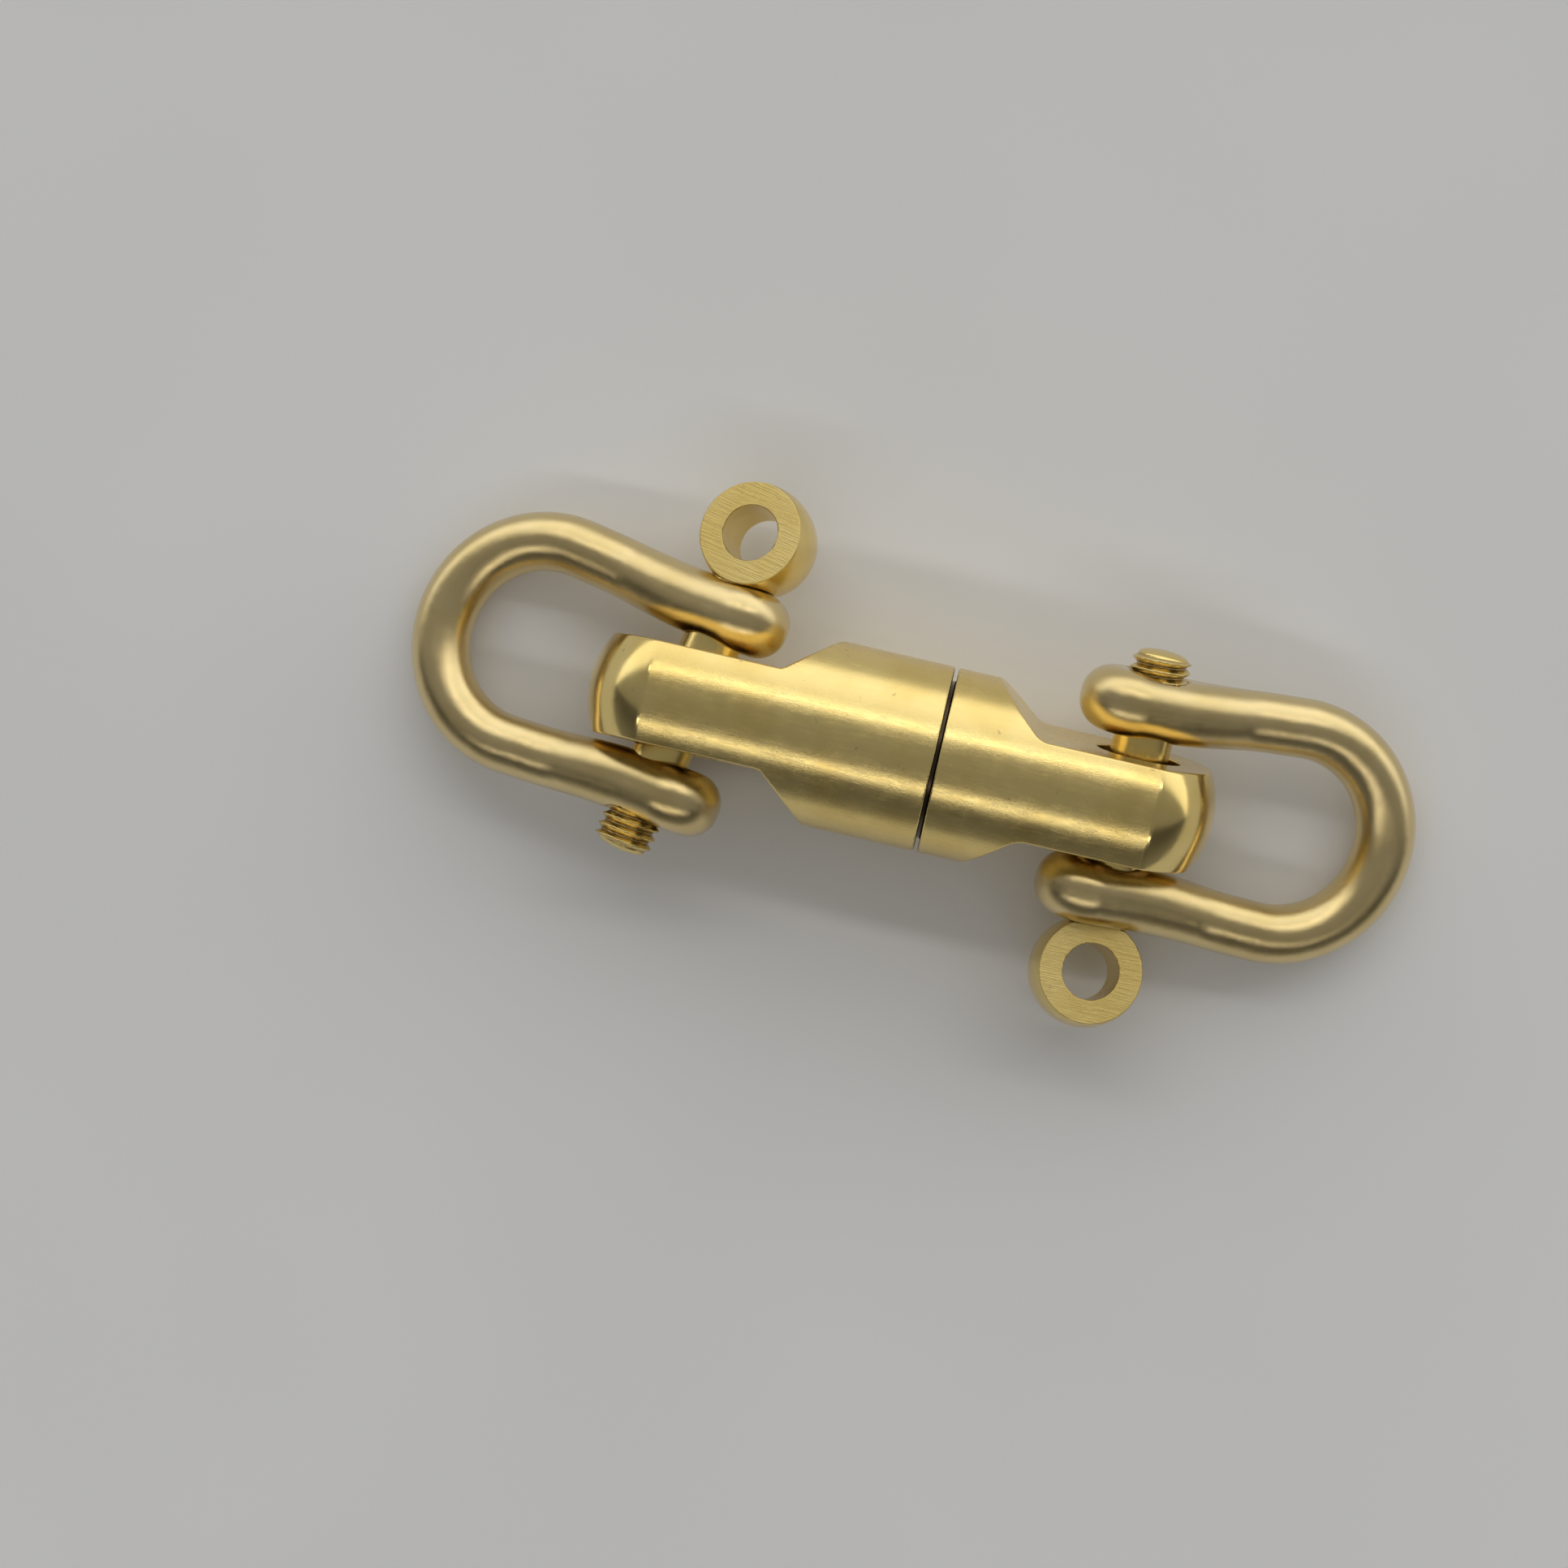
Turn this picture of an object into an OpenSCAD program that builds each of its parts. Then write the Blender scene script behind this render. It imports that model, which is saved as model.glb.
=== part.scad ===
// Double shackle swivel, solid brass.
// Two turned halves meet at a narrow groove and turn freely on a headed stud.
// Each half is milled down to a flat tongue, and each tongue carries a bow
// shackle on a screw pin with a cross-drilled eye.
// The swivel axis lies along X. The part lies on the plane Z = 0 as it comes to
// rest: on its barrel and on the ends of both bows.

/* [Swivel barrel] */
// Diameter of the round bar that both halves are turned from
barrel_d = 9.4; // [9:0.1:11]
// Width of the groove between the two halves
groove_w = 0.2; // [0.15:0.05:0.4]
// Full-diameter length of the long half, from the groove's middle
long_full = 5.8; // [5.4:0.1:8]
// Full-diameter length of the short half, from the groove's middle
short_full = 2.25; // [1.8:0.05:4]
// Slope of the milled shoulders, from the swivel axis
shoulder_deg = 41; // [36:1:50]
// Fillet at the foot of the long half's shoulders
long_fillet = 0.35; // [0.2:0.05:1.2]
// Fillet at the foot of the short half's shoulders
short_fillet = 1.0; // [0.2:0.05:1.2]
// Bevel at the rims of the groove
rim_bevel = 0.06; // [0.02:0.01:0.15]
// Diameter of the short half's spigot, which closes the groove from inside
spigot_d = 8; // [7.6:0.1:8.2]
// Length of the spigot past the groove's far face
spigot_l = 0.4; // [0.3:0.05:0.6]

/* [Tongues] */
// Thickness across the two milled flats
tongue_t = 5.06; // [4.6:0.02:5.2]
// Full-diameter end of the long half's tongue, from the groove's middle
long_reach = 14.55; // [14.2:0.05:16]
// Full-diameter end of the short half's tongue, from the groove's middle
short_reach = 10.9; // [10.6:0.05:13]
// Length of the domed end past that point
dome_len = 3.15; // [2.6:0.05:3.6]
// Radius of the domed end
dome_r = 5.05; // [4.9:0.05:5.4]
// Cross hole for the screw pin
pin_hole_d = 4.2; // [4.2:0.1:4.6]

/* [Swivel stud and bush] */
// Shank of the headed stud
stud_d = 3.0; // [2.4:0.1:3.2]
// Head of the headed stud
stud_head_d = 5.6; // [5:0.1:5.8]
// Thickness of the stud's head
stud_head_t = 1.3; // [1:0.1:1.6]
// Depth that the stud is driven into the short half
stud_grip = 4.6; // [3:0.1:5]
// Bore of the long half, and the outside of the retaining bush
bush_d = 6.6; // [6.4:0.1:7]
// Length of the retaining bush
bush_l = 2.2; // [1.8:0.1:2.6]
// Running clearance on the stud's radius
run_gap = 0.05; // [0.02:0.01:0.1]

/* [Shackles] */
// Diameter of the bow's round wire
wire_d = 3.0; // [2.8:0.05:3.1]
// Radius of the bow, to the middle of the wire
bow_r = 5.28; // [5.2:0.02:5.6]
// Distance from the pin to the middle of the bow
bow_reach = 8.25; // [8:0.05:9.5]
// Distance of each leg's middle from the shackle's middle, at the pin
leg_y = 4.87; // [4.8:0.01:5]
// Height of the ears
ear_d = 5; // [4.8:0.1:5.4]
// Distance of an ear's round end past the pin
ear_off = 1.1; // [0.9:0.05:1.2]
// Thickness of the ears along the pin
ear_t = 3.2; // [3.1:0.02:3.22]
// Distance of an ear's middle inside its leg's middle
ear_set = 0.12; // [0.08:0.01:0.16]
// Rounding of the ears' rims
ear_round = 1.5; // [1.2:0.05:1.52]
// Distance along the leg over which an ear tapers into the wire
ear_taper = 6; // [5:0.1:6.5]

/* [Screw pins] */
// Diameter of the plain shank and of the thread over its crests
pin_d = 2.96; // [2.8:0.02:3]
// Distance of the left eye from the middle of its shackle
left_eye_at = 8.75; // [8.7:0.05:9.4]
// Distance of the right eye from the middle of its shackle
right_eye_at = 8.95; // [8.7:0.05:9.4]
// Outside diameter of the eye at its thickest
eye_d = 5.6; // [5.3:0.05:5.8]
// Diameter of the eye's ground faces
eye_face_d = 5.2; // [4.6:0.02:5.2]
// Hole through the eye
eye_hole_d = 2.84; // [2.4:0.02:3]
// Thickness between the eye's ground faces
eye_t = 3.2; // [2.8:0.05:3.4]
// End of the left pin's thread, from the shackle's middle
left_tip = 8.15; // [7.4:0.05:8.6]
// End of the right pin's thread, from the shackle's middle
right_tip = 7.6; // [7.4:0.05:8.6]
// Diameter of the domed thread end
tip_d = 2.48; // [2.3:0.02:2.6]
// Length of the domed thread end
tip_len = 0.6; // [0.5:0.02:0.8]

/* [How it lies] */
// Turn of the long half about the swivel axis
left_roll = -4.5; // [-6:0.5:0]
// Turn of the short half about the swivel axis
right_roll = 4.5; // [0:0.5:6]
// Droop of the left shackle about its pin
left_droop = 12.78; // [0:0.01:12.79]
// Droop of the right shackle about its pin
right_droop = 13.47; // [0:0.01:13.48]
// Skew of the left shackle and its pin in the loose cross hole
left_skew = -8; // [-8:0.5:0]
// Skew of the right shackle and its pin in the loose cross hole
right_skew = -0.5; // [-1:0.5:4]
// Skew of the left pin in its shackle, whose ears are drilled askew
left_pin_skew = -3.5; // [-3.5:0.5:0]
// Position of the left pin along the swivel axis
left_pin_x = -12.8; // [-12.85:0.05:-12.75]
// Position of the right pin along the swivel axis
right_pin_x = 9.7; // [9.65:0.05:9.75]
// Turn of the left pin about its own length
left_eye_turn = 3.5; // [-30:0.5:30]
// Turn of the right pin about its own length
right_eye_turn = -6; // [-30:1:30]
// Lean of the left eye's ground faces from square
left_eye_lean = -4; // [-6:1:6]
// Lean of the right eye's ground faces from square
right_eye_lean = 12; // [0:1:14]

/* [Hidden] */
$fn = 96;

barrel_r = barrel_d / 2;
half_gap = groove_w / 2;
// middle of the footprint, so that the origin is under the middle of the part
mid_x = -1.47;
mid_y = -0.02;
left_shift_y = 0.05;
right_shift_y = 0.25;

// clearance round the spigot and past its end
spigot_gap = 0.06;
spigot_end = 0.12;
// near face of the retaining bush, from the groove's middle
bush_x = half_gap + spigot_l + spigot_end;

// length of one shoulder along the axis
shoulder_len = (barrel_r - tongue_t / 2) / tan(shoulder_deg);

// tangent point of a leg on the bow's circle
leg_dist = norm([bow_reach, leg_y]);
leg_turn = atan2(leg_y, -bow_reach) - acos(bow_r / leg_dist);
leg_end = [bow_reach + bow_r * cos(leg_turn), bow_r * sin(leg_turn)];
leg_len = norm([leg_end[0], leg_end[1] - leg_y]);
leg_deg = atan2(leg_end[1] - leg_y, leg_end[0]);

brass_bright = [0.83, 0.70, 0.36];
brass_satin = [0.78, 0.64, 0.30];
brass_pin = [0.80, 0.67, 0.38];
brass_plain = [0.74, 0.60, 0.28];

// Points of an arc about c, from angle a0 to a1
function arc(c, r, a0, a1, n) =
    [for (i = [0:n]) let (a = a0 + (a1 - a0) * i / n) c + r * [cos(a), sin(a)]];

// Everything is lifted so that the barrel lies on Z = 0
module as_lying() {
    translate([-mid_x, -mid_y, barrel_r]) children();
}

// Cylinder along +X from x0 to x1
module bar_x(d, x0, x1) {
    translate([x0, 0, 0]) rotate([0, 90, 0]) cylinder(d = d, h = x1 - x0);
}

// Cylinder along +Y from y0 to y1
module bar_y(d, y0, y1) {
    translate([0, y0, 0]) rotate([-90, 0, 0]) cylinder(d = d, h = y1 - y0);
}

// Round bar with a bevelled rim at the groove and a domed far end
module turned_blank(reach) {
    end_x = reach + dome_len;
    centre_x = end_x - dome_r;
    translate([half_gap, 0, 0]) rotate([0, 90, 0])
        cylinder(r1 = barrel_r - rim_bevel, r2 = barrel_r, h = rim_bevel);
    bar_x(barrel_d, half_gap + rim_bevel, reach);
    intersection() {
        translate([centre_x, 0, 0]) rotate([0, 90, 0]) sphere(r = dome_r);
        bar_x(barrel_d, centre_x + 0.5, end_x + 1);
    }
}

// What the cutter takes from one side: a flat, its sloped shoulder and the
// fillet at the shoulder's foot
module side_cut(full, reach, fillet) {
    y0 = tongue_t / 2;
    foot = [full + shoulder_len, y0];
    run = fillet * tan(shoulder_deg / 2);
    up = [-cos(shoulder_deg), sin(shoulder_deg)];
    over = 2;
    far = reach + dome_len + 1;
    centre = [foot[0] + run, y0 + fillet];
    translate([0, 0, -barrel_d]) linear_extrude(height = 2 * barrel_d)
        polygon(concat([foot + up * (barrel_r - y0 + over) / sin(shoulder_deg)],
                       arc(centre, fillet, -90 - shoulder_deg, -90, 6),
                       [[far, y0], [far, barrel_r + over]]));
}

// One half of the barrel, drawn with its tongue toward +X
module barrel_half(full, reach, fillet, pin_x) {
    difference() {
        turned_blank(reach);
        side_cut(full, reach, fillet);
        mirror([0, 1, 0]) side_cut(full, reach, fillet);
        translate([pin_x, 0, 0]) bar_y(pin_hole_d, -barrel_d, barrel_d);
    }
}

// Bore of the long half: a recess for the spigot, then a drilled pocket with a
// drill-point end
module long_bore() {
    deep = bush_x + bush_l + stud_head_t + 0.7;
    bar_x(spigot_d + 2 * spigot_gap, 0, bush_x);
    bar_x(bush_d, 0, deep);
    translate([deep, 0, 0]) rotate([0, 90, 0])
        cylinder(d1 = bush_d, d2 = 0.4, h = 1.6);
}

module long_half() {
    color(brass_satin) as_lying() rotate([left_roll, 0, 0]) mirror([1, 0, 0])
        difference() {
            barrel_half(long_full, long_reach, long_fillet, -left_pin_x);
            long_bore();
        }
}

module short_half() {
    color(brass_satin) as_lying() rotate([right_roll, 0, 0])
        difference() {
            union() {
                barrel_half(short_full, short_reach, short_fillet, right_pin_x);
                bar_x(spigot_d, -half_gap - spigot_l, half_gap + 1);
            }
            bar_x(stud_d, -bush_x, half_gap + stud_grip);
        }
}

module retaining_bush() {
    color(brass_plain) as_lying() rotate([left_roll, 0, 0]) mirror([1, 0, 0])
        difference() {
            bar_x(bush_d, bush_x, bush_x + bush_l);
            bar_x(stud_d + 2 * run_gap, 0, bush_x + bush_l + 1);
        }
}

module swivel_stud() {
    head_x = bush_x + bush_l + run_gap;
    color(brass_plain) as_lying() rotate([right_roll, 0, 0]) {
        bar_x(stud_d, -head_x - 0.5, half_gap + stud_grip);
        bar_x(stud_head_d, -head_x - stud_head_t, -head_x);
    }
}

// Half of an ear's section: a flat middle with a rounded rim
module ear_disc() {
    rotate([90, 0, 0]) rotate_extrude($fn = 40)
        polygon(concat(
            [[0, -ear_t / 2]],
            arc([ear_d / 2 - ear_round, ear_round - ear_t / 2], ear_round, -90, 0, 7),
            arc([ear_d / 2 - ear_round, ear_t / 2 - ear_round], ear_round, 0, 90, 7),
            [[0, ear_t / 2]]));
}

// One ear with its taper into the leg, and the leg, on the +Y side
module ear_and_leg() {
    hull() {
        translate([-ear_off, leg_y - ear_set, 0]) ear_disc();
        translate([ear_taper * cos(leg_deg), leg_y + ear_taper * sin(leg_deg), 0])
            rotate([90, 0, 0]) sphere(d = wire_d - 0.06, $fn = 32);
    }
    translate([0, leg_y, 0]) rotate([0, 0, leg_deg]) bar_x(wire_d - 0.02, 4, leg_len + 0.25);
}

// Bow shackle with its pin along Y and its bow toward +X.
// The pin enters on the -Y side and screws into the +Y ear. skew turns the
// bores through the ears from square.
module shackle(skew) {
    difference() {
        union() {
            ear_and_leg();
            mirror([0, 1, 0]) ear_and_leg();
            translate([bow_reach, 0, 0]) rotate([0, 0, -leg_turn])
                rotate_extrude(angle = 2 * leg_turn)
                    translate([bow_r, 0]) circle(d = wire_d, $fn = 48);
        }
        rotate([0, 0, skew]) bar_y(pin_d + 2 * run_gap, -leg_y - ear_t, leg_y + ear_t);
    }
}

// Screw pin along Y with its eye on the -Y side
module screw_pin(tip, turn, lean, eye_at) {
    bulge = (eye_d - eye_face_d) / 2;
    side_r = (pow(eye_t / 2, 2) + pow(bulge, 2)) / (2 * bulge);
    side_a = asin(eye_t / 2 / side_r);
    seat = leg_y - ear_set + ear_t / 2 + 0.13;
    dome = 0.36;
    difference() {
        union() {
            // shank, ground away with the eye's faces where it would stand out
            difference() {
                bar_y(pin_d, -eye_at + eye_hole_d / 2 + 0.15, tip - tip_len);
                translate([0, -eye_at, 0]) rotate([0, turn, 0]) rotate([-lean, 0, 0])
                    for (k = [-1, 1])
                        translate([0, 0, k * (eye_t / 2 - 0.03 + eye_d)])
                            cube([2 * eye_d, 4.6, 2 * eye_d], center = true);
            }
            // domed end of the thread
            translate([0, tip - tip_len, 0]) rotate([-90, 0, 0])
                rotate_extrude()
                    polygon(concat([[0, -0.5], [tip_d / 2, -0.5]],
                        [for (i = [0:7]) let (a = 84 * i / 7)
                            [tip_d / 2 * cos(a), tip_len - dome + dome * sin(a) / sin(84)]],
                        [[0, tip_len]]));
            // eye, cut square where it seats on the ear
            intersection() {
                translate([0, -eye_at, 0]) rotate([0, turn, 0]) rotate([-lean, 0, 0])
                    rotate_extrude()
                        polygon(concat([[0, -eye_t / 2]],
                            arc([eye_d / 2 - side_r, 0], side_r, -side_a, side_a, 12),
                            [[0, eye_t / 2]]));
                translate([-eye_d, -eye_at - eye_d, -eye_d])
                    cube([2 * eye_d, eye_at + eye_d - seat, 2 * eye_d]);
            }
        }
        translate([0, -eye_at, 0]) rotate([0, turn, 0]) rotate([-lean, 0, 0])
            translate([0, 0, -eye_t]) cylinder(d = eye_hole_d, h = 2 * eye_t);
    }
}

// A shackle or pin in place on one tongue
module at_left() {
    as_lying() rotate([left_roll, 0, 0]) translate([left_pin_x, left_shift_y, 0])
        rotate([0, 0, left_skew]) rotate([0, -left_droop, 0]) rotate([0, 0, 180])
            children();
}

module at_right() {
    as_lying() rotate([right_roll, 0, 0]) translate([right_pin_x, right_shift_y, 0])
        rotate([0, 0, right_skew]) rotate([0, right_droop, 0]) children();
}

module left_shackle() {
    color(brass_bright) at_left() shackle(left_pin_skew);
}

module right_shackle() {
    color(brass_bright) at_right() shackle(0);
}

module left_screw_pin() {
    color(brass_pin) at_left() rotate([0, 0, left_pin_skew])
        screw_pin(left_tip, left_eye_turn, left_eye_lean, left_eye_at);
}

module right_screw_pin() {
    color(brass_pin) at_right() screw_pin(right_tip, right_eye_turn, right_eye_lean, right_eye_at);
}

long_half();
retaining_bush();
short_half();
swivel_stud();
left_shackle();
right_shackle();
left_screw_pin();
right_screw_pin();
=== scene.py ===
"""Looks of the double shackle swivel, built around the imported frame.

Each outer piece is modelled as a smooth implicit surface: a signed distance
function in the piece's own millimetre frame, turned into an even quad mesh.
The functions repeat the dimensions of the CAD source and add what the solids
leave out: softened edges, the forged blend of ear into wire, and the threads.
"""

import math

import bpy
import numpy as np
from mathutils import Matrix, Vector


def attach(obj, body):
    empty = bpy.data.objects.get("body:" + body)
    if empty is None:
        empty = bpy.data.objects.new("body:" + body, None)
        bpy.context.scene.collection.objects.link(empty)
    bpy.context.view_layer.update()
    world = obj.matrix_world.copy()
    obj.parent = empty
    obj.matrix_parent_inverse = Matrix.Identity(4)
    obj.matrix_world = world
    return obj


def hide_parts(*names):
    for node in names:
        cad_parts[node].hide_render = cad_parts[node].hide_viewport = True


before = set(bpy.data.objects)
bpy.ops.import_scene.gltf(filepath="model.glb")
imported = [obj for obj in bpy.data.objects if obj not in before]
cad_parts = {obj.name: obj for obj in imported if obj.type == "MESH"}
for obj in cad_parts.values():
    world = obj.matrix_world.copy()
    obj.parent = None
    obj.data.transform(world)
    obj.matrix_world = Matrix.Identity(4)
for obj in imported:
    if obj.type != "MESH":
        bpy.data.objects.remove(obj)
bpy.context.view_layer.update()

MM = 0.001
# mesh pitch in mm, coarser while trying things
PITCH = 0.1

# ---------------------------------------------------------------- dimensions
BARREL_R = 4.7
HALF_GAP = 0.1
TONGUE = 2.53
SHOULDER = math.radians(41.0)
DOME_R = 5.05
DOME_LEN = 3.15
BORE_R = 3.3
STUD_R = 1.5
WIRE_R = 1.5
BOW_R = 5.28
BOW_X = 8.25
LEG_Y = 4.87
EAR_R = 2.5
EAR_OFF = 1.1
EAR_SET = 0.11
EAR_HALF = 1.62
PIN_R = 1.48
EAR_BORE_R = 1.53
EYE_R = 2.8
EYE_FACE_R = 2.6
EYE_HALF = 1.6
EYE_HOLE_R = 1.42
SEAT_GAP = 0.04
SPIGOT_R = 4.0
SPIGOT_END = 0.5
CROSS_R = 2.1
TIP_R = 1.24
THREAD_PITCH = 0.5


def rot(axis, deg):
    return Matrix.Rotation(math.radians(deg), 4, axis)


LYING = Matrix.Translation((1.47, 0.02, 4.7))
LEFT_HALF = LYING @ rot("X", -4.5) @ Matrix.Diagonal((-1, 1, 1, 1))
RIGHT_HALF = LYING @ rot("X", 4.5)
LEFT_SHACKLE = (LYING @ rot("X", -4.5) @ Matrix.Translation((-12.8, 0.05, 0))
                @ rot("Z", -8) @ rot("Y", -12.78) @ rot("Z", 180))
RIGHT_SHACKLE = (LYING @ rot("X", 4.5) @ Matrix.Translation((9.7, 0.25, 0))
                 @ rot("Z", -0.5) @ rot("Y", 13.47))
# the left ears are drilled askew
LEFT_BORE = -3.5


# ------------------------------------------------------- distance functions
def smax(a, b, k):
    """Larger of two distances, with the crease between them rounded."""
    h = np.maximum(k - np.abs(a - b), 0.0) / k
    return np.maximum(a, b) + h * h * k * 0.25


def smin(a, b, k):
    return -smax(-a, -b, k)


def hyp(a, b):
    return np.sqrt(a * a + b * b)


def half_sdf(full, reach, fillet, pin_x, bore):
    """Half of the barrel, tongue toward +X."""
    sin_s, cos_s = math.sin(SHOULDER), math.cos(SHOULDER)
    foot = full + (BARREL_R - TONGUE) / math.tan(SHOULDER)
    dome_x = reach + DOME_LEN - DOME_R

    def f(p):
        x, y, z = p
        r = hyp(y, z)
        # turned bar, faced at the groove, with the domed end
        d = r - BARREL_R
        d = smax(d, HALF_GAP - x, 0.12)
        dome = np.sqrt((x - dome_x) ** 2 + r * r) - DOME_R
        d = smax(d, np.where(x > dome_x, dome, -1.0), 0.10)
        # the two milled flats and their shoulders
        ay = np.abs(y)
        flat = ay - TONGUE
        slope = (x - foot) * sin_s + (ay - TONGUE) * cos_s
        side = smin(flat, slope, fillet * 0.3)
        d = smax(d, side, 0.09)
        # cross hole
        d = smax(d, CROSS_R - hyp(x - pin_x, z), 0.10)
        # pocket for the swivel stud
        if bore == "bush":
            pocket = np.minimum(np.maximum(r - BORE_R, x - 4.82),
                                np.maximum(r - SPIGOT_R - 0.06, x - 0.62))
        else:
            spigot = smax(r - SPIGOT_R, -SPIGOT_END - x, 0.1)
            d = np.minimum(d, np.maximum(spigot, x - 1.0))
            pocket = np.maximum(r - STUD_R - 0.01, x - 4.7)
        d = smax(d, -pocket, 0.06)
        return d

    return f


def taper(s, z):
    """Distance to the ear's outline less its rounding: a disc that narrows to
    nothing along the leg, with a smooth run-out into the wire."""
    th = math.radians(9.5)
    core = EAR_R - WIRE_R
    st, zt = core * math.sin(th), core * math.cos(th)
    end = st + zt / math.tan(th)
    run = 5.5
    tl = run * math.tan(th / 2)
    end_x = end + tl
    line_len = zt / math.sin(th) - tl
    az = np.abs(z)
    r = hyp(s, z)
    d = r - core
    along = (s - st) * math.cos(th) - (az - zt) * math.sin(th)
    line = (s - st) * math.sin(th) + (az - zt) * math.cos(th)
    arc = run - hyp(s - end_x, az - run)
    d = np.where(along > 0, line, d)
    d = np.where(along > line_len, arc, d)
    d = np.where(s > end_x, az, d)
    return np.where((s <= end_x) | (az > 0), d, 0.0)


def shackle_sdf(skew):
    """Bow shackle, pin along Y, bow toward +X. skew turns the bores through
    its ears from square; None leaves the ears whole."""
    dist = math.hypot(BOW_X, LEG_Y)
    turn = math.atan2(LEG_Y, -BOW_X) - math.acos(BOW_R / dist)
    ex, ey = BOW_X + BOW_R * math.cos(turn), BOW_R * math.sin(turn)
    lean = math.atan2(ey - LEG_Y, ex)
    leg_len = math.hypot(ex, ey - LEG_Y)
    cl, sl = math.cos(lean), math.sin(lean)

    def f(p):
        x, y, z = p
        ay = np.abs(y)
        # bow
        rho = hyp(x - BOW_X, y)
        ang = np.arctan2(ay, x - BOW_X)
        bow = hyp(rho - BOW_R, z)
        # leg, with the ear at its foot
        s = x * cl + (ay - LEG_Y) * sl
        n = (ay - LEG_Y) * cl - x * sl
        w = np.clip(s / 6.5, 0, 1)
        w = w * w * (3 - 2 * w)
        # the ear stands square to the pin, so its middle leaves the leg's line
        n = n + (1 - w) * (EAR_SET + x * sl)
        half = (EAR_HALF - WIRE_R) * (1 - w)
        out = np.maximum(taper(x + (s - x) * np.clip(x / 2, 0, 1) + EAR_OFF, z), 0)
        leg = hyp(out, np.maximum(np.abs(n) - half, 0))
        d = np.where(ang <= turn, bow, leg) - WIRE_R
        if skew is None:
            return d
        cb, sb = math.cos(math.radians(skew)), math.sin(math.radians(skew))
        return smax(d, EAR_BORE_R - hyp(x * cb + y * sb, z), 0.12)

    return f


def pin_sdf(tip, turn, lean, skew, eye_at):
    """Screw pin along Y, eye on the -Y side, in the frame in which the eye
    isn't turned; lean tips the eye's faces, skew is the bore's in the ears."""
    bulge = EYE_R - EYE_FACE_R
    side_r = (EYE_HALF ** 2 + bulge ** 2) / (2 * bulge)
    cl, sl = math.cos(math.radians(-lean)), math.sin(math.radians(-lean))
    into = np.array((rot("Z", skew) @ rot("Y", turn)).to_3x3())
    ears = shackle_sdf(None)

    def f(p):
        x, y, z = p
        r = hyp(x, z)
        # shank, with V threads whose last crest is 0.47 from the tip
        ph = (y - tip + 0.47) / THREAD_PITCH - np.arctan2(x, z) / (2 * math.pi)
        c = np.abs(2 * (ph - np.floor(ph)) - 1)
        ridge = np.clip((c - 0.12) / 0.76, 0, 1) * np.clip((tip - 0.3 - y) / 0.12, 0, 1)
        cut = np.clip((y - 3.6) / 0.45, 0, 1)
        radius = PIN_R - cut * (PIN_R - TIP_R + 0.02 - 0.26 * ridge)
        radius = np.where(y > tip - 0.4, np.maximum(radius, TIP_R), radius)
        # low dome on the end
        rise = np.maximum(y - tip + 0.33, 0)
        k = hyp(r / TIP_R, rise / 0.33)
        dome = (k - 1) * k / np.maximum(hyp(r / TIP_R ** 2, rise / 0.33 ** 2), 0.05)
        shank = np.where(rise > 0, dome, (r - radius) * 0.8)
        shank = smax(shank, -7.25 - y, 0.02)
        # eye, in its own frame; its ground faces run on over the shank
        ye, ze = (y + eye_at) * cl + z * sl, -(y + eye_at) * sl + z * cl
        shank = smax(shank, np.where(ye < 2.3, np.abs(ze) - EYE_HALF + 0.01, -1.0), 0.02)
        shank = smax(shank, EYE_HOLE_R - hyp(x, ye), 0.04)
        re = hyp(x, ye)
        ring = hyp(re - (EYE_R - side_r), ze) - side_r
        ring = np.where(re < EYE_R - side_r, -1.0, ring)
        ring = smax(ring, np.abs(ze) - EYE_HALF, 0.05)
        ring = smax(ring, EYE_HOLE_R - re, 0.04)
        # the eye clears the rounded ear that it seats on
        q = [into[i][0] * x + into[i][1] * y + into[i][2] * z for i in range(3)]
        ring = smax(ring, SEAT_GAP - ears(q), 0.06)
        return smin(shank, ring, 0.05)

    return f


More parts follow.
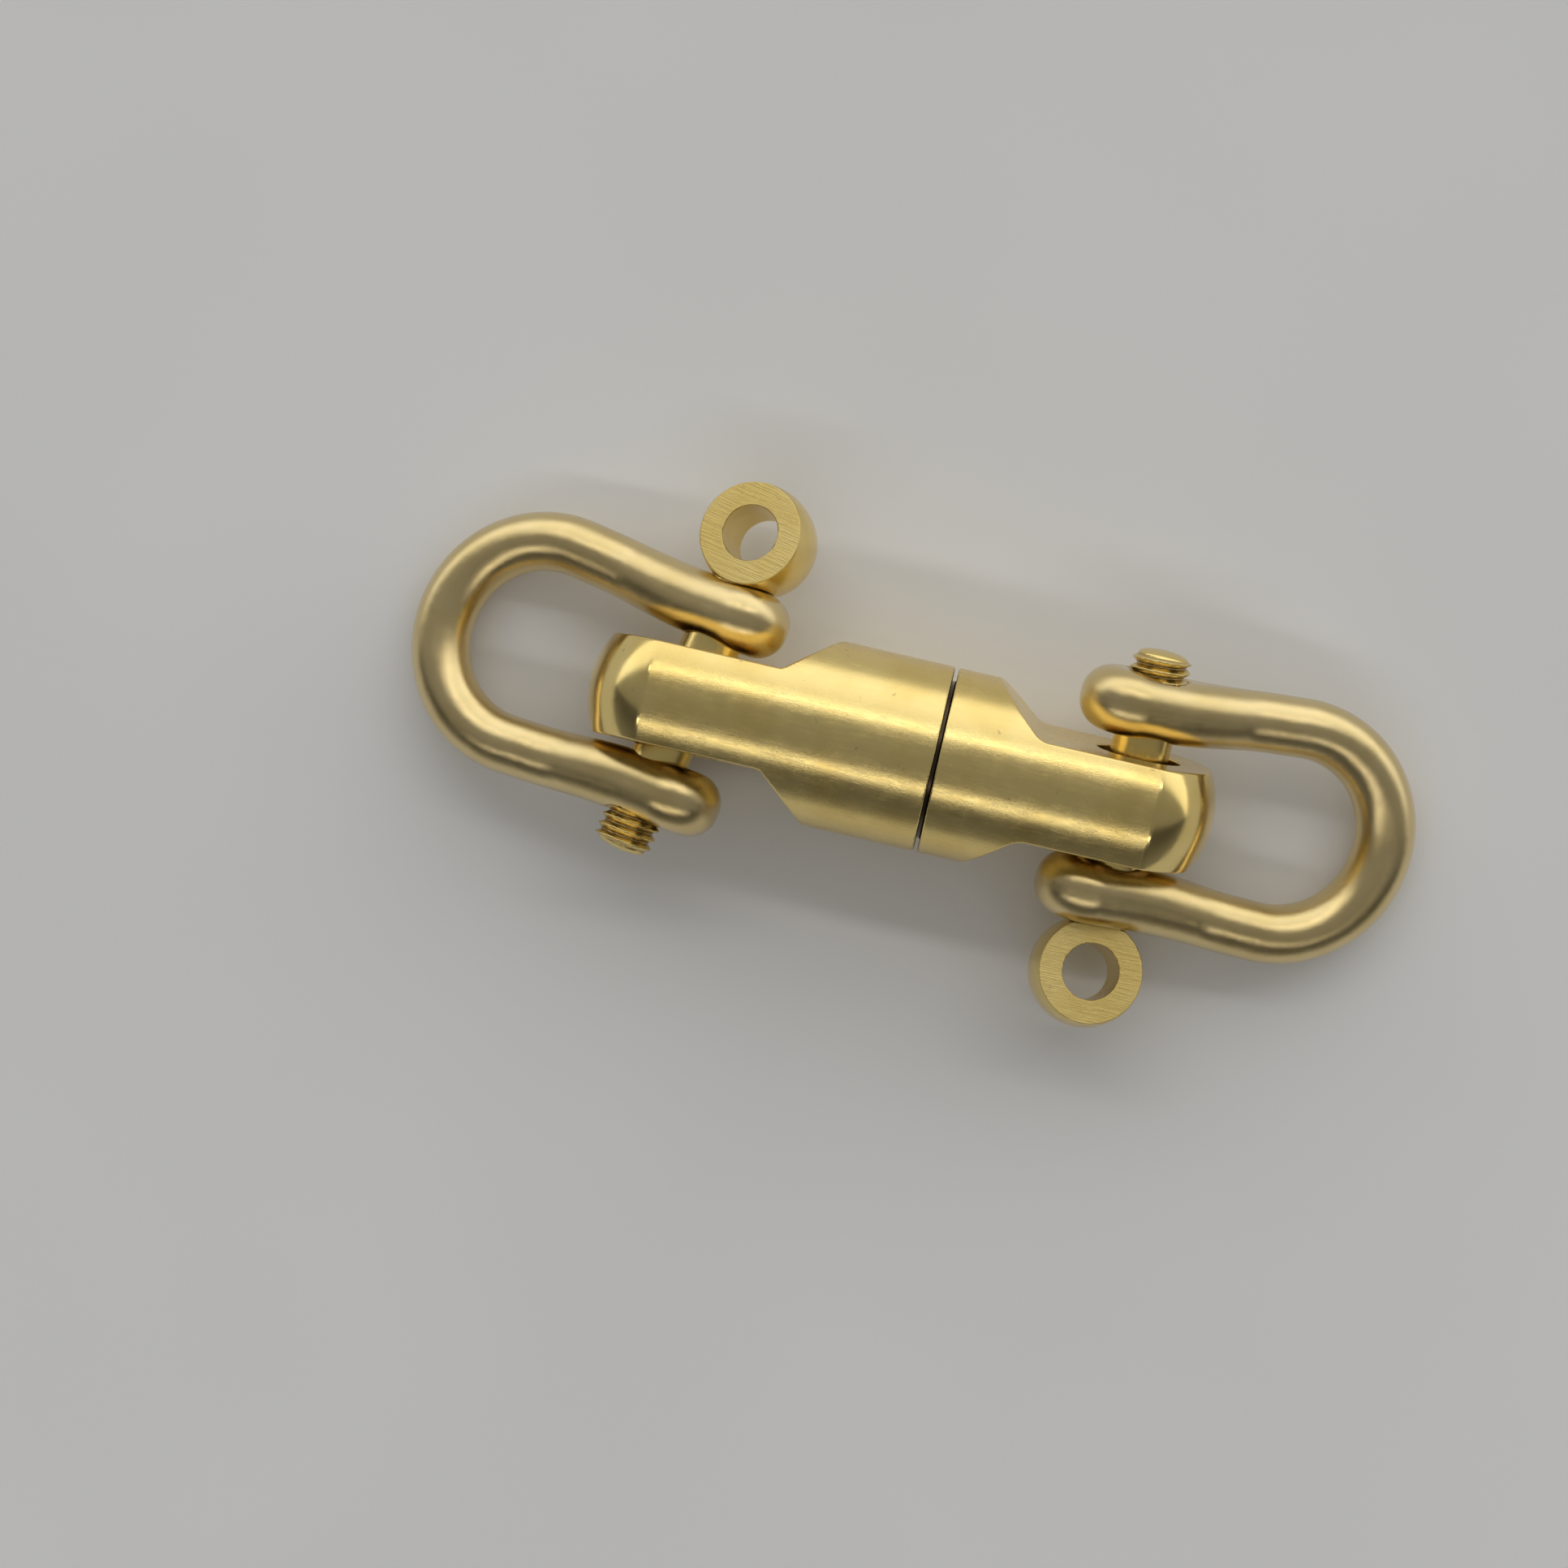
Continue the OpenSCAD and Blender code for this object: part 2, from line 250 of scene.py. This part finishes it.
# ------------------------------------------------------------ surface meshing
def surface(f, lo, hi, step):
    """Even quad mesh of f = 0 between corners lo and hi (mm)."""
    lo, hi, step = (np.array(v, float) for v in (lo, hi, step))
    n = np.ceil((hi - lo) / step).astype(int) + 1
    ax = [lo[i] + step[i] * np.arange(n[i]) for i in range(3)]
    v = np.empty(n)
    for i in range(0, n[0], 16):
        g = np.meshgrid(ax[0][i:i + 16], ax[1], ax[2], indexing="ij")
        v[i:i + 16] = f(g)
    inside = v < 0
    # a grid face with like signs across both diagonals would put four quads
    # on one edge, so its value nearest to the surface changes side
    for _ in range(10):
        odd = set()
        for axis in range(3):
            g = np.moveaxis(inside, axis, 0)
            c00, c10, c11, c01 = g[:, :-1, :-1], g[:, 1:, :-1], g[:, 1:, 1:], g[:, :-1, 1:]
            for at in np.argwhere((c00 == c11) & (c10 == c01) & (c00 != c10)):
                ring = []
                for du, dw in ((0, 0), (1, 0), (1, 1), (0, 1)):
                    q = [at[1] + du, at[2] + dw]
                    q.insert(axis, at[0])
                    ring.append(tuple(q))
                odd.add(min(ring, key=lambda q: abs(v[q])))
        if not odd:
            break
        for q in odd:
            v[q] = -0.02 if v[q] >= 0 else 0.02
        inside = v < 0
    count = np.zeros(n - 1, np.int8)
    for a in (0, 1):
        for b in (0, 1):
            for c in (0, 1):
                count += inside[a:n[0] - 1 + a, b:n[1] - 1 + b, c:n[2] - 1 + c]
    cell = np.argwhere((count > 0) & (count < 8))
    index = np.full(n - 1, -1, np.int64)
    index[tuple(cell.T)] = np.arange(len(cell))
    total = np.zeros((len(cell), 3))
    hits = np.zeros(len(cell))
    for axis in range(3):
        others = [k for k in range(3) if k != axis]
        for a in (0, 1):
            for b in (0, 1):
                o = np.zeros(3, int)
                o[others[0]], o[others[1]] = a, b
                p = cell + o
                q = p.copy()
                q[:, axis] += 1
                v0, v1 = v[tuple(p.T)], v[tuple(q.T)]
                cross = (v0 < 0) != (v1 < 0)
                t = np.where(cross, v0 / np.where(cross, v0 - v1, 1), 0)
                pos = p.astype(float)
                pos[:, axis] += t
                total[cross] += pos[cross]
                hits[cross] += 1
    pts = lo + step * (total / hits[:, None])
    quads = []
    for axis in range(3):
        sl0 = [slice(1, n[k] - 1) for k in range(3)]
        sl0[axis] = slice(0, n[axis] - 1)
        sl1 = list(sl0)
        sl1[axis] = slice(1, n[axis])
        a, b = inside[tuple(sl0)], inside[tuple(sl1)]
        at = np.argwhere(a != b)
        base = at.copy()
        for k in range(3):
            if k != axis:
                base[:, k] += 1
        u, w = [(1, 2), (2, 0), (0, 1)][axis]
        ring = []
        for du, dw in ((-1, -1), (0, -1), (0, 0), (-1, 0)):
            c = base.copy()
            c[:, u] += du
            c[:, w] += dw
            ring.append(index[tuple(c.T)])
        ring = np.stack(ring, 1)
        flip = b[tuple(at.T)]
        ring[flip] = ring[flip][:, ::-1]
        quads.append(ring)
    quads = np.concatenate(quads)
    # even the spacing out, then bring the points back onto the surface
    e = np.concatenate([quads[:, [0, 1]], quads[:, [1, 2]],
                        quads[:, [2, 3]], quads[:, [3, 0]]])
    deg = np.bincount(e[:, 0], minlength=len(pts)) + np.bincount(e[:, 1], minlength=len(pts))

    def grad(p, h=0.004):
        g = np.empty_like(p)
        for k in range(3):
            a, b = p.copy(), p.copy()
            a[:, k] += h
            b[:, k] -= h
            g[:, k] = (f(a.T) - f(b.T)) / (2 * h)
        return g

    def settle(p, rounds):
        for _ in range(rounds):
            g = grad(p)
            d = f(p.T) / np.maximum((g * g).sum(1), 0.05)
            move = g * d[:, None]
            size = np.linalg.norm(move, axis=1)
            lim = 0.6 * step.min()
            move *= np.minimum(1, lim / np.maximum(size, 1e-9))[:, None]
            p = p - move
        return p

    pts = settle(pts, 2)
    for _ in range(3):
        mean = np.empty_like(pts)
        for k in range(3):
            mean[:, k] = (np.bincount(e[:, 0], pts[e[:, 1], k], len(pts))
                          + np.bincount(e[:, 1], pts[e[:, 0], k], len(pts))) / deg
        pts = settle(pts + 0.4 * (mean - pts), 1)
    pts = settle(pts, 2)
    g = grad(pts)
    normals = g / np.maximum(np.linalg.norm(g, axis=1), 1e-9)[:, None]
    return pts, quads, normals


def piece(name, f, lo, hi, step, place, frames=()):
    """Mesh object of f, put in place. The point's place in the piece's own
    frame (mm) is kept in the attribute "local" for its material."""
    pts, quads, normals = surface(f, lo, hi, step)
    m = np.array(place)
    world = (pts @ m[:3, :3].T + m[:3, 3]) * MM
    nrm = normals @ m[:3, :3].T
    if np.linalg.det(m[:3, :3]) < 0:
        quads = quads[:, ::-1]
    mesh = bpy.data.meshes.new(name)
    mesh.vertices.add(len(world))
    mesh.vertices.foreach_set("co", world.astype(np.float32).ravel())
    mesh.loops.add(quads.size)
    mesh.loops.foreach_set("vertex_index", quads.astype(np.int32).ravel())
    mesh.polygons.add(len(quads))
    mesh.polygons.foreach_set("loop_start", np.arange(0, quads.size, 4, dtype=np.int32))
    mesh.update(calc_edges=True)
    mesh.validate()
    mesh.polygons.foreach_set("use_smooth", np.ones(len(mesh.polygons), bool))
    a = mesh.attributes.new("local", "FLOAT_VECTOR", "POINT")
    a.data.foreach_set("vector", pts.astype(np.float32).ravel())
    for label, fr in frames:
        fm = np.array(fr.inverted())
        q = pts @ fm[:3, :3].T + fm[:3, 3]
        a = mesh.attributes.new(label, "FLOAT_VECTOR", "POINT")
        a.data.foreach_set("vector", q.astype(np.float32).ravel())
    mesh.normals_split_custom_set_from_vertices(nrm.astype(np.float32))
    o = bpy.data.objects.new(name, mesh)
    bpy.context.scene.collection.objects.link(o)
    return o


# ------------------------------------------------------------------ materials
class Nodes:
    """Short hand for building a node tree."""

    def __init__(self, name):
        self.mat = bpy.data.materials.new(name)
        self.mat.use_nodes = True
        self.t = self.mat.node_tree
        self.t.nodes.clear()
        self.out = self.t.nodes.new("ShaderNodeOutputMaterial")
        self.bsdf = self.t.nodes.new("ShaderNodeBsdfPrincipled")
        self.link(self.bsdf.outputs[0], self.out.inputs[0])

    def link(self, a, b):
        self.t.links.new(a, b)

    def put(self, value, socket):
        if isinstance(value, bpy.types.NodeSocket):
            self.link(value, socket)
        else:
            socket.default_value = value

    def attr(self, name):
        n = self.t.nodes.new("ShaderNodeAttribute")
        n.attribute_name = name
        return n.outputs["Vector"]

    def coords(self, vec, scale, turn=(0, 0, 0)):
        n = self.t.nodes.new("ShaderNodeMapping")
        self.link(vec, n.inputs["Vector"])
        n.inputs["Scale"].default_value = scale
        n.inputs["Rotation"].default_value = turn
        return n.outputs[0]

    def noise(self, vec, scale, detail=3.0, rough=0.55, warp=0.0):
        n = self.t.nodes.new("ShaderNodeTexNoise")
        self.link(vec, n.inputs["Vector"])
        n.inputs["Scale"].default_value = scale
        n.inputs["Detail"].default_value = detail
        n.inputs["Roughness"].default_value = rough
        n.inputs["Distortion"].default_value = warp
        return n.outputs["Fac"]

    def cells(self, vec, scale):
        n = self.t.nodes.new("ShaderNodeTexVoronoi")
        self.link(vec, n.inputs["Vector"])
        n.inputs["Scale"].default_value = scale
        return n.outputs["Distance"]

    def ramp(self, fac, *stops):
        n = self.t.nodes.new("ShaderNodeMapRange")
        (a, x), (b, y) = stops
        n.interpolation_type = "SMOOTHSTEP"
        self.link(fac, n.inputs["Value"])
        n.inputs["From Min"].default_value = a
        n.inputs["From Max"].default_value = b
        n.inputs["To Min"].default_value = x
        n.inputs["To Max"].default_value = y
        return n.outputs[0]

    def math(self, op, a, b=0.0):
        n = self.t.nodes.new("ShaderNodeMath")
        n.operation = op
        self.put(a, n.inputs[0])
        self.put(b, n.inputs[1])
        return n.outputs[0]

    def mix(self, fac, a, b):
        n = self.t.nodes.new("ShaderNodeMix")
        n.data_type = "RGBA"
        self.put(fac, n.inputs["Factor"])
        self.put(a, n.inputs["A"])
        self.put(b, n.inputs["B"])
        return n.outputs["Result"]

    def part(self, vec, axis):
        n = self.t.nodes.new("ShaderNodeSeparateXYZ")
        self.link(vec, n.inputs[0])
        return n.outputs[axis]

    def bump(self, height, strength, distance, after=None):
        n = self.t.nodes.new("ShaderNodeBump")
        n.inputs["Strength"].default_value = strength
        n.inputs["Distance"].default_value = distance
        self.link(height, n.inputs["Height"])
        if after is not None:
            self.link(after, n.inputs["Normal"])
        return n.outputs[0]


BRASS = (0.86, 0.67, 0.26, 1)
BRASS_DEEP = (0.80, 0.60, 0.205, 1)
BRASS_DULL = (0.52, 0.37, 0.15, 1)
BRASS_DARK = (0.34, 0.23, 0.09, 1)
# near-black, painted shade for the groove between the halves
GROOVE_SHADE = (0.07, 0.045, 0.02, 1)
WIRE = (0.76, 0.60, 0.29, 1)
WIRE_DEEP = (0.70, 0.54, 0.235, 1)


def brass_base(m, co, light, deep, stain=0.0):
    """Slow colour drift with small stains, shared by all the pieces."""
    drift = m.ramp(m.noise(co, 0.35, 2), (0.35, 0.0), (0.7, 1.0))
    colour = m.mix(drift, light, deep)
    if stain:
        spot = m.ramp(m.noise(co, 1.7, 4, 0.6, 0.4), (0.66, 0.0), (0.74, stain))
        colour = m.mix(spot, colour, BRASS_DULL)
    return colour


def polished():
    m = Nodes("polished_brass")
    co = m.attr("local")
    m.bsdf.inputs["Metallic"].default_value = 1.0
    base = brass_base(m, co, WIRE, WIRE_DEEP, 0.2)
    # painted shade: darker on the inner sides of the ears
    ear_shade = m.math("MULTIPLY", m.ramp(m.math("ABSOLUTE", m.part(co, 1)), (3.3, 0.7), (4.3, 0.0)),
                   m.ramp(m.part(co, 0), (2.5, 1.0), (5.5, 0.0)))
    m.put(m.mix(ear_shade, base, BRASS_DULL), m.bsdf.inputs["Base Color"])
    m.bsdf.inputs["Coat Weight"].default_value = 0.5
    m.bsdf.inputs["Coat Roughness"].default_value = 0.16
    rough = m.ramp(m.noise(co, 0.9, 4, 0.6), (0.3, 0.14), (0.75, 0.23))
    m.put(rough, m.bsdf.inputs["Roughness"])
    wobble = m.bump(m.noise(co, 0.55, 2, 0.5), 0.3, 0.00012)
    grain = m.bump(m.noise(co, 18.0, 4, 0.7), 0.4, 0.000024, wobble)
    m.link(grain, m.bsdf.inputs["Normal"])
    return m.mat


def turned():
    m = Nodes("turned_brass")
    co = m.attr("local")
    # the domed end is smoother than the bar that it was turned from
    bar = m.ramp(m.part(m.attr("end"), 0), (-0.03, 1.0), (0.03, 0.0))
    m.bsdf.inputs["Metallic"].default_value = 1.0
    # painted shade: near-black on the faces of the groove between the halves
    n = m.t.nodes.new("ShaderNodeVectorMath")
    n.operation = "LENGTH"
    m.link(m.coords(co, (0.0, 1.0, 1.0)), n.inputs[0])
    groove = m.math("MULTIPLY", m.ramp(m.part(co, 0), (0.15, 1.0), (0.21, 0.0)),
                    m.ramp(n.outputs["Value"], (4.56, 1.0), (4.68, 0.0)))
    base = brass_base(m, co, BRASS, BRASS_DEEP, 0.7)
    m.put(m.mix(groove, base, GROOVE_SHADE), m.bsdf.inputs["Base Color"])
    streak = m.ramp(m.noise(m.coords(co, (0.6, 7.0, 7.0)), 1.0, 4, 0.6), (0.3, 0.06), (0.75, 0.13))
    smooth = m.ramp(m.noise(co, 1.1, 3, 0.6), (0.3, 0.13), (0.75, 0.19))
    rough = m.math("ADD", smooth, m.math("MULTIPLY", streak, bar))
    m.put(rough, m.bsdf.inputs["Roughness"])
    m.bsdf.inputs["Coat Weight"].default_value = 0.3
    m.bsdf.inputs["Coat Roughness"].default_value = 0.28
    height = m.math("MULTIPLY", m.noise(m.coords(co, (7.0, 20.0, 20.0)), 1.0, 4, 0.65), bar)
    grain = m.bump(height, 0.3, 0.000014)
    rings = m.bump(m.math("MULTIPLY", m.noise(m.coords(co, (16.0, 0.2, 0.2)), 1.0, 3, 0.6), bar),
                   0.12, 0.00001, grain)
    m.link(rings, m.bsdf.inputs["Normal"])
    return m.mat


def ground():
    m = Nodes("ground_brass")
    co = m.attr("local")
    eye = m.attr("eye")
    m.bsdf.inputs["Metallic"].default_value = 1.0
    base = brass_base(m, co, BRASS, BRASS_DEEP, 0.3)
    # darker in the roots of the thread
    n = m.t.nodes.new("ShaderNodeVectorMath")
    n.operation = "LENGTH"
    m.link(m.coords(co, (1.0, 0.0, 1.0)), n.inputs[0])
    root = m.math("MULTIPLY", m.ramp(n.outputs["Value"], (1.22, 0.8), (1.45, 0.1)),
                  m.ramp(m.part(co, 1), (3.4, 0.0), (3.8, 1.0)))
    root = m.math("MULTIPLY", root, m.ramp(m.part(m.attr("tip"), 1), (-0.40, 1.0), (-0.30, 0.0)))
    m.put(m.mix(root, base, BRASS_DARK), m.bsdf.inputs["Base Color"])
    # saw marks across the ground faces
    z = m.math("ABSOLUTE", m.part(eye, 2))
    far = m.math("GREATER_THAN", m.math("MULTIPLY", m.part(co, 1), -1.0), 6.1)
    face = m.math("MULTIPLY", m.ramp(z, (1.57, 0.0), (1.585, 1.0)), far)
    marks = m.noise(m.coords(eye, (0.35, 13.0, 1.0), (0, 0, math.radians(8))), 1.0, 5, 0.75, 0.05)
    rough = m.ramp(m.noise(co, 1.2, 4, 0.6), (0.3, 0.18), (0.75, 0.28))
    n = m.t.nodes.new("ShaderNodeMix")
    n.data_type = "FLOAT"
    m.put(face, n.inputs[0])
    m.put(rough, n.inputs[2])
    n.inputs[3].default_value = 0.4
    m.put(n.outputs[0], m.bsdf.inputs["Roughness"])
    height = m.math("MULTIPLY", marks, face)
    cut = m.bump(height, 0.9, 0.00005)
    grain = m.bump(m.noise(co, 9.0, 3, 0.6), 0.15, 0.000015, cut)
    m.link(grain, m.bsdf.inputs["Normal"])
    return m.mat


def plain():
    m = Nodes("plain_brass")
    n = m.t.nodes.new("ShaderNodeTexCoord")
    co = m.coords(n.outputs["Object"], (1000, 1000, 1000))
    m.bsdf.inputs["Metallic"].default_value = 1.0
    m.put(brass_base(m, co, BRASS, BRASS_DEEP, 0.2), m.bsdf.inputs["Base Color"])
    m.put(m.ramp(m.noise(co, 2.0, 3), (0.3, 0.25), (0.7, 0.4)), m.bsdf.inputs["Roughness"])
    m.link(m.bump(m.noise(m.coords(co, (12, 0.3, 0.3)), 1.0, 3), 0.2, 0.00002),
           m.bsdf.inputs["Normal"])
    return m.mat


MAT_POLISHED, MAT_TURNED, MAT_GROUND, MAT_PLAIN = polished(), turned(), ground(), plain()

# --------------------------------------------------------------------- pieces
P = (PITCH,) * 3
PIN_P = (PITCH * 0.75, PITCH * 0.42, PITCH * 0.75)


def fit_out(o, mat, body, node):
    o.data.materials.append(mat)
    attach(o, body)
    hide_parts(node)
    return o


long_half = piece("long_half_turned", half_sdf(5.8, 14.55, 0.35, 12.8, "bush"),
                  (-0.2, -5.0, -5.0), (18.1, 5.0, 5.0), P, LEFT_HALF, (("end", Matrix.Translation((14.5, 0, 0))),))
fit_out(long_half, MAT_TURNED, "long_body", "long_half")
short_half = piece("short_half_turned", half_sdf(2.25, 10.9, 1.0, 9.7, "stud"),
                   (-0.8, -5.0, -5.0), (14.5, 5.0, 5.0), P, RIGHT_HALF, (("end", Matrix.Translation((10.85, 0, 0))),))
fit_out(short_half, MAT_TURNED, "short_body", "short_half")

for side, place, skew in (("left", LEFT_SHACKLE, LEFT_BORE), ("right", RIGHT_SHACKLE, 0.0)):
    o = piece(side + "_shackle_bow", shackle_sdf(skew), (-4.0, -7.2, -4.0), (15.4, 7.2, 4.0), P, place)
    fit_out(o, MAT_POLISHED, side + "_bow_body", side + "_shackle")

for side, place, tip, turn, lean, skew, eye_at in (
        ("left", LEFT_SHACKLE, 8.15, 3.5, -4, LEFT_BORE, 8.75),
        ("right", RIGHT_SHACKLE, 7.6, -6, 12, 0.0, 8.95)):
    # the eye is turned about the pin, so the whole piece is meshed unturned
    here = place @ rot("Z", skew) @ rot("Y", turn)
    eye_frame = Matrix.Translation((0, -eye_at, 0)) @ rot("X", -lean)
    o = piece(side + "_pin_threaded", pin_sdf(tip, turn, lean, skew, eye_at), (-3.1, -12.0, -3.1), (3.1, 8.4, 3.1),
              PIN_P, here, (("eye", eye_frame), ("tip", Matrix.Translation((0, tip, 0)))))
    fit_out(o, MAT_GROUND, side + "_pin_body", side + "_screw_pin")

for name in ("swivel_stud", "retaining_bush"):
    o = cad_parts[name]
    o.data.materials.clear()
    o.data.materials.append(MAT_PLAIN)

# ---------------------------------------------------------------------- stage
floor_mesh = bpy.data.meshes.new("floor")
S = 1.5
floor_mesh.from_pydata([(-S, -S, 0), (S, -S, 0), (S, S, 0), (-S, S, 0)], [], [(0, 1, 2, 3)])
floor = bpy.data.objects.new("floor", floor_mesh)
bpy.context.scene.collection.objects.link(floor)
fm = Nodes("pale_floor")
tc = fm.t.nodes.new("ShaderNodeTexCoord")
fm.put(fm.mix(fm.ramp(fm.noise(tc.outputs["Object"], 30, 2), (0.3, 0.0), (0.7, 1.0)),
              (0.86, 0.86, 0.85, 1), (0.89, 0.89, 0.88, 1)), fm.bsdf.inputs["Base Color"])
fm.bsdf.inputs["Roughness"].default_value = 0.9
floor.data.materials.append(fm.mat)


def area(name, loc, target, size, size_y, power, colour=(1, 1, 1)):
    d = bpy.data.lights.new(name, "AREA")
    d.shape = "RECTANGLE"
    d.size, d.size_y = size, size_y
    d.energy = power
    d.color = colour
    o = bpy.data.objects.new(name, d)
    bpy.context.scene.collection.objects.link(o)
    o.location = loc
    way = Vector(target) - Vector(loc)
    o.rotation_euler = way.to_track_quat("-Z", "Y").to_euler()
    return o


area("strip_far", (0.0, 0.36, 0.50), (0, 0, 0), 0.9, 0.05, 0.58, (1.0, 0.98, 0.95))
area("strip_near", (0.0, -0.36, 0.50), (0, 0, 0), 0.9, 0.05, 0.52, (1.0, 0.97, 0.93))

world = bpy.data.worlds.new("studio")
bpy.context.scene.world = world
world.use_nodes = True
wt = world.node_tree
wt.nodes.clear()
w_out = wt.nodes.new("ShaderNodeOutputWorld")
w_bg = wt.nodes.new("ShaderNodeBackground")
w_tc = wt.nodes.new("ShaderNodeTexCoord")
w_sep = wt.nodes.new("ShaderNodeSeparateXYZ")
w_at = wt.nodes.new("ShaderNodeMath")
w_at.operation = "ARCTAN2"
w_map = wt.nodes.new("ShaderNodeMapRange")
w_ramp = wt.nodes.new("ShaderNodeValToRGB")
wt.links.new(w_tc.outputs["Generated"], w_sep.inputs[0])
wt.links.new(w_sep.outputs[1], w_at.inputs[0])
wt.links.new(w_sep.outputs[2], w_at.inputs[1])
wt.links.new(w_at.outputs[0], w_map.inputs["Value"])
w_map.inputs["From Min"].default_value = -math.pi / 2
w_map.inputs["From Max"].default_value = math.pi / 2
wt.links.new(w_map.outputs[0], w_ramp.inputs[0])
ramp = w_ramp.color_ramp
stops = ((0.0, 0.16), (0.22, 0.07), (0.33, 0.07), (0.38, 0.22), (0.71, 0.29), (0.79, 1.15), (1.0, 1.45))
ramp.elements[0].position, ramp.elements[1].position = 0.0, 1.0
for k, (pos, val) in enumerate(stops):
    el = ramp.elements[0] if k == 0 else ramp.elements[-1] if k == len(stops) - 1 else ramp.elements.new(pos)
    el.position = pos
    el.color = (val, val, val, 1)
wt.links.new(w_ramp.outputs[0], w_bg.inputs[0])
w_bg.inputs[1].default_value = 1.0
wt.links.new(w_bg.outputs[0], w_out.inputs[0])

bpy.context.scene.view_settings.view_transform = "Standard"

# --------------------------------------------------------------------- camera
# Fitted to the photograph: focal length in pixels of the 1932-pixel frame, the
# turn as a rotation vector, and the swivel's groove in camera coordinates (mm).
FOCAL, FRAME_PX = 4500.0, 1932.0
turn = Vector((0.0633, 0.0504, 0.2269))
shift = Vector((7.5657, -1.2177, 181.538))
r_cv = Matrix.Rotation(turn.length, 3, turn.normalized()) @ Matrix.Diagonal((1, -1, -1))
loc = (LYING @ (-(r_cv.transposed() @ shift))) * MM
r_bl = (Matrix.Diagonal((1, -1, -1)) @ r_cv).transposed()
cam_data = bpy.data.cameras.new("camera")
cam_data.sensor_fit = "HORIZONTAL"
cam_data.sensor_width = 36.0
cam_data.lens = 36.0 * FOCAL / FRAME_PX
cam_data.clip_start = 0.005
cam = bpy.data.objects.new("camera", cam_data)
bpy.context.scene.collection.objects.link(cam)
cam.matrix_world = Matrix.Translation(loc) @ r_bl.to_4x4()
bpy.context.scene.camera = cam
